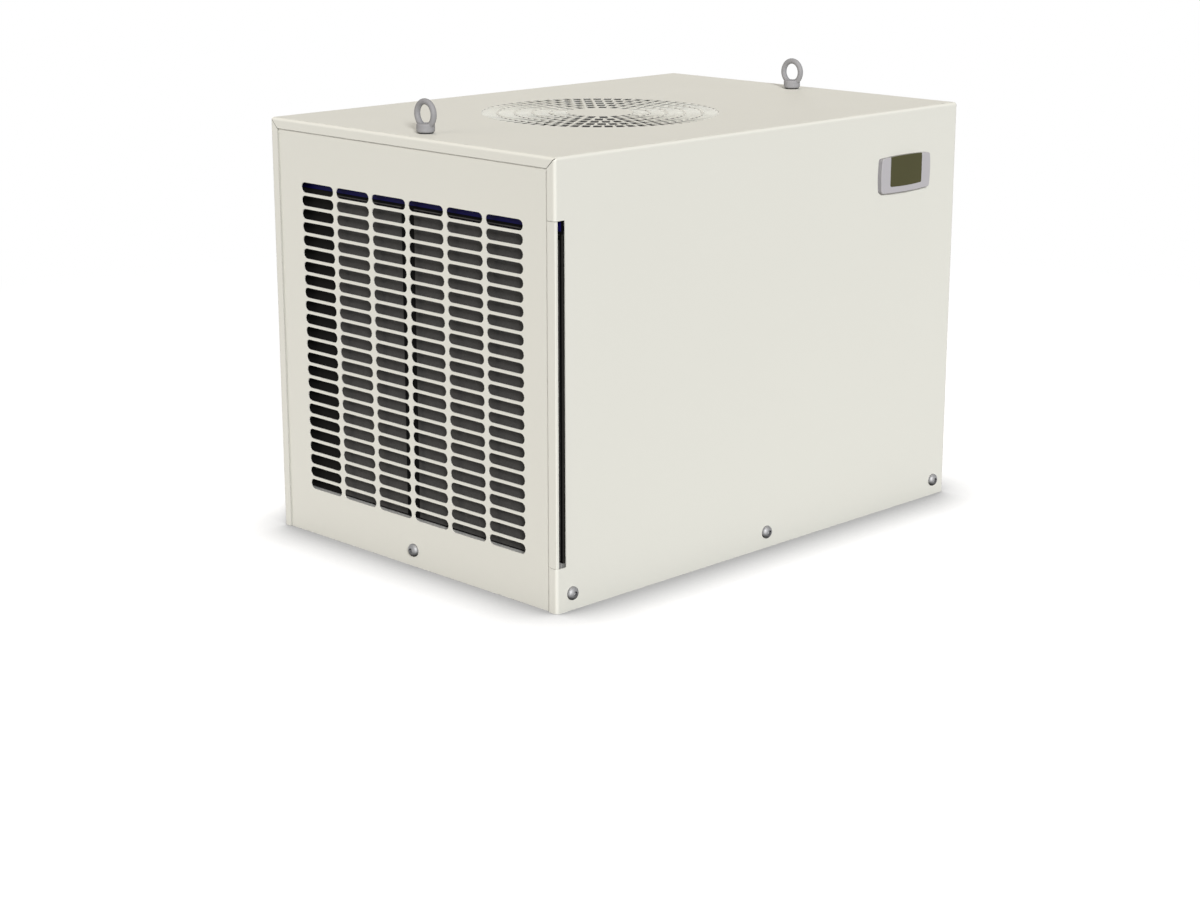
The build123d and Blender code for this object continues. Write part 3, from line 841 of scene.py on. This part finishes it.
class ROOFUNIT_OT_cold_chamber(bpy.types.Operator):
    """Finish the insulated chamber and the inlet fan in it"""

    bl_idname = "roofunit.cold_chamber"
    bl_label = "Cold Chamber"

    def execute(self, context):
        colors = context.scene.roof_unit_colors
        foam = varied_finish(
            "Chamber Foam", colors.foam, clouds=(0.2, 60.0), gloss=(0.85, 0.08), grain=400.0, bump=0.3 * MM
        )
        dress(foam, "cold_chamber_cover")
        plastic = varied_finish(
            "Wheel Plastic", colors.fan, clouds=(0.15, 30.0), gloss=(0.4, 0.08), grain=1000.0, bump=0.02 * MM
        )
        dress(plastic, "inlet_fan_wheel", "inlet_fan_motor")
        return {"FINISHED"}


class ROOFUNIT_OT_stage(bpy.types.Operator):
    """Set up the floor, the light and the camera"""

    bl_idname = "roofunit.stage"
    bl_label = "Stage"

    def execute(self, context):
        stage = context.scene.roof_unit_stage
        context.scene.view_settings.view_transform = "Standard"
        self.floor(context, stage)
        self.sky(context, stage)
        self.lights(context, stage)
        self.camera(context, stage)
        return {"FINISHED"}

    def seen_directly(self, tree):
        """1 for rays of the camera and for those that metal or glass sends on, otherwise 0."""
        path = add(tree, "LightPath").outputs
        first = math_node(tree, "MAXIMUM", path["Is Camera Ray"], path["Is Glossy Ray"])
        return math_node(tree, "MAXIMUM", first, path["Is Transmission Ray"])

    def floor(self, context, stage):
        """Wide floor that keeps the unit's shadow and fades to white away from it."""
        shape = bmesh.new()
        below = Matrix.Translation((0.0, 0.0, -stage.floor_drop))
        bmesh.ops.create_grid(shape, x_segments=1, y_segments=1, size=stage.floor_size / 2, matrix=below)
        mesh = bpy.data.meshes.new("studio_floor")
        shape.to_mesh(mesh)
        shape.free()
        piece = bpy.data.objects.new("studio_floor", mesh)
        context.collection.objects.link(piece)
        mesh.materials.append(self.floor_paint(context, stage))

    def floor_paint(self, context, stage):
        """Pale paint with a painted contact shadow round the unit's foot, fading to white further out."""
        material = bpy.data.materials.new("Floor Paint")
        material.use_nodes = True
        tree = material.node_tree
        tree.nodes.clear()
        place = add(tree, "TexCoord").outputs["Object"]
        distance = add(tree, "VectorMath", {0: place}, operation="LENGTH").outputs["Value"]
        far = add(tree, "MapRange", {
            "Value": distance, "From Min": stage.shadow_start, "From Max": stage.shadow_end,
        }, interpolation_type="SMOOTHSTEP").outputs[0]
        seen = self.seen_directly(tree)
        # Painted contact shadow: ambient occlusion darkens the paint and the added white near the unit
        open_sky = add(tree, "AmbientOcclusion", {"Distance": stage.contact_reach}, samples=16).outputs["AO"]
        contact = add(tree, "MapRange", {
            "Value": open_sky, "From Min": 0.5, "From Max": 1.0, "To Min": stage.contact_shade, "To Max": 1.0,
        }).outputs[0]
        base = context.scene.roof_unit_colors.floor
        shaded = add(tree, "VectorMath", {0: base, "Scale": contact}, operation="SCALE").outputs[0]
        paint = add(tree, "BsdfDiffuse", {"Color": shaded}).outputs[0]
        glow = math_node(tree, "MULTIPLY", math_node(tree, "MULTIPLY", seen, contact), stage.floor_lift)
        lift = add(tree, "Emission", {"Color": WHITE, "Strength": glow}).outputs[0]
        near = add(tree, "AddShader", {0: paint, 1: lift}).outputs[0]
        white = add(tree, "Emission", {"Color": WHITE, "Strength": 1.0}).outputs[0]
        fade = math_node(tree, "MULTIPLY", seen, far)
        mixed = add(tree, "MixShader", {0: fade, 1: near, 2: white}).outputs[0]
        add(tree, "OutputMaterial", {"Surface": mixed})
        return material

    def sky(self, context, stage):
        """Even light all round, white where it is seen directly."""
        world = bpy.data.worlds.new("Studio Sky")
        context.scene.world = world
        world.use_nodes = True
        tree = world.node_tree
        tree.nodes.clear()
        seen = self.seen_directly(tree)
        levels = {0: seen, 1: 1.0 - stage.sky, 2: stage.sky}
        strength = add(tree, "Math", levels, operation="MULTIPLY_ADD").outputs[0]
        light = add(tree, "Background", {"Color": WHITE, "Strength": strength}).outputs[0]
        add(tree, "OutputWorld", {"Surface": light})

    def lights(self, context, stage):
        """Key light and top light that leave highlights, and side and back lights that leave none."""
        for name, strength, source, shade, glossy in (
            ("Key Light", stage.key, stage.key_from, stage.plain, True),
            ("Side Light", stage.side, stage.side_from, stage.warm, False),
            ("Top Light", stage.top, stage.top_from, stage.warm, True),
            ("Back Light", stage.back, stage.back_from, stage.plain, False),
        ):
            data = bpy.data.lights.new(name, "SUN")
            data.energy = strength
            data.color = shade
            data.angle = stage.softness
            lamp = bpy.data.objects.new(name, data)
            lamp.rotation_euler = Vector(source).to_track_quat("Z", "Y").to_euler()
            lamp.visible_glossy = glossy
            context.collection.objects.link(lamp)

    def camera(self, context, stage):
        """Camera at the picture's viewpoint."""
        data = bpy.data.cameras.new("Camera")
        data.lens = stage.lens
        camera = bpy.data.objects.new("Camera", data)
        camera.location = stage.camera_place
        level = math.cos(stage.camera_tilt)
        heading = Vector((
            level * math.cos(stage.camera_turn),
            level * math.sin(stage.camera_turn),
            -math.sin(stage.camera_tilt),
        ))
        camera.rotation_euler = heading.to_track_quat("-Z", "Y").to_euler()
        context.collection.objects.link(camera)
        context.scene.camera = camera


OPERATORS = (
    ROOFUNIT_OT_cabinet, ROOFUNIT_OT_cover_screws, ROOFUNIT_OT_lifting_eyes, ROOFUNIT_OT_controller,
    ROOFUNIT_OT_filter, ROOFUNIT_OT_exhaust_fan, ROOFUNIT_OT_coils, ROOFUNIT_OT_cold_chamber,
    ROOFUNIT_OT_stage,
)
SETTINGS = {
    "roof_unit_colors": FinishColors,
    "roof_unit_screws": CoverScrews,
    "roof_unit_eyes": LiftingEyes,
    "roof_unit_coils": CoilParts,
    "roof_unit_stage": StudioStage,
}


class ROOFUNIT_PT_pieces(bpy.types.Panel):
    """Lists the steps that finish the roof unit"""

    bl_idname = "ROOFUNIT_PT_pieces"
    bl_label = "Roof Unit"
    bl_space_type = "VIEW_3D"
    bl_region_type = "UI"
    bl_category = "Roof Unit"

    def draw(self, context):
        for operator in OPERATORS:
            self.layout.operator(operator.bl_idname)


def register():
    """Registers the settings, operators and panel."""
    for settings in SETTINGS.values():
        bpy.utils.register_class(settings)
    for name, settings in SETTINGS.items():
        setattr(bpy.types.Scene, name, PointerProperty(type=settings))
    for entry in (*OPERATORS, ROOFUNIT_PT_pieces):
        bpy.utils.register_class(entry)


def unregister():
    """Removes what register adds."""
    for entry in (ROOFUNIT_PT_pieces, *reversed(OPERATORS)):
        bpy.utils.unregister_class(entry)
    for name, settings in SETTINGS.items():
        delattr(bpy.types.Scene, name)
        bpy.utils.unregister_class(settings)


def main():
    """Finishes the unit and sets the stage."""
    register()
    bpy.ops.roofunit.cabinet()
    bpy.ops.roofunit.cover_screws()
    bpy.ops.roofunit.lifting_eyes()
    bpy.ops.roofunit.controller()
    bpy.ops.roofunit.filter()
    bpy.ops.roofunit.exhaust_fan()
    bpy.ops.roofunit.coils()
    bpy.ops.roofunit.cold_chamber()
    bpy.ops.roofunit.stage()


if __name__ == "__main__":
    main()
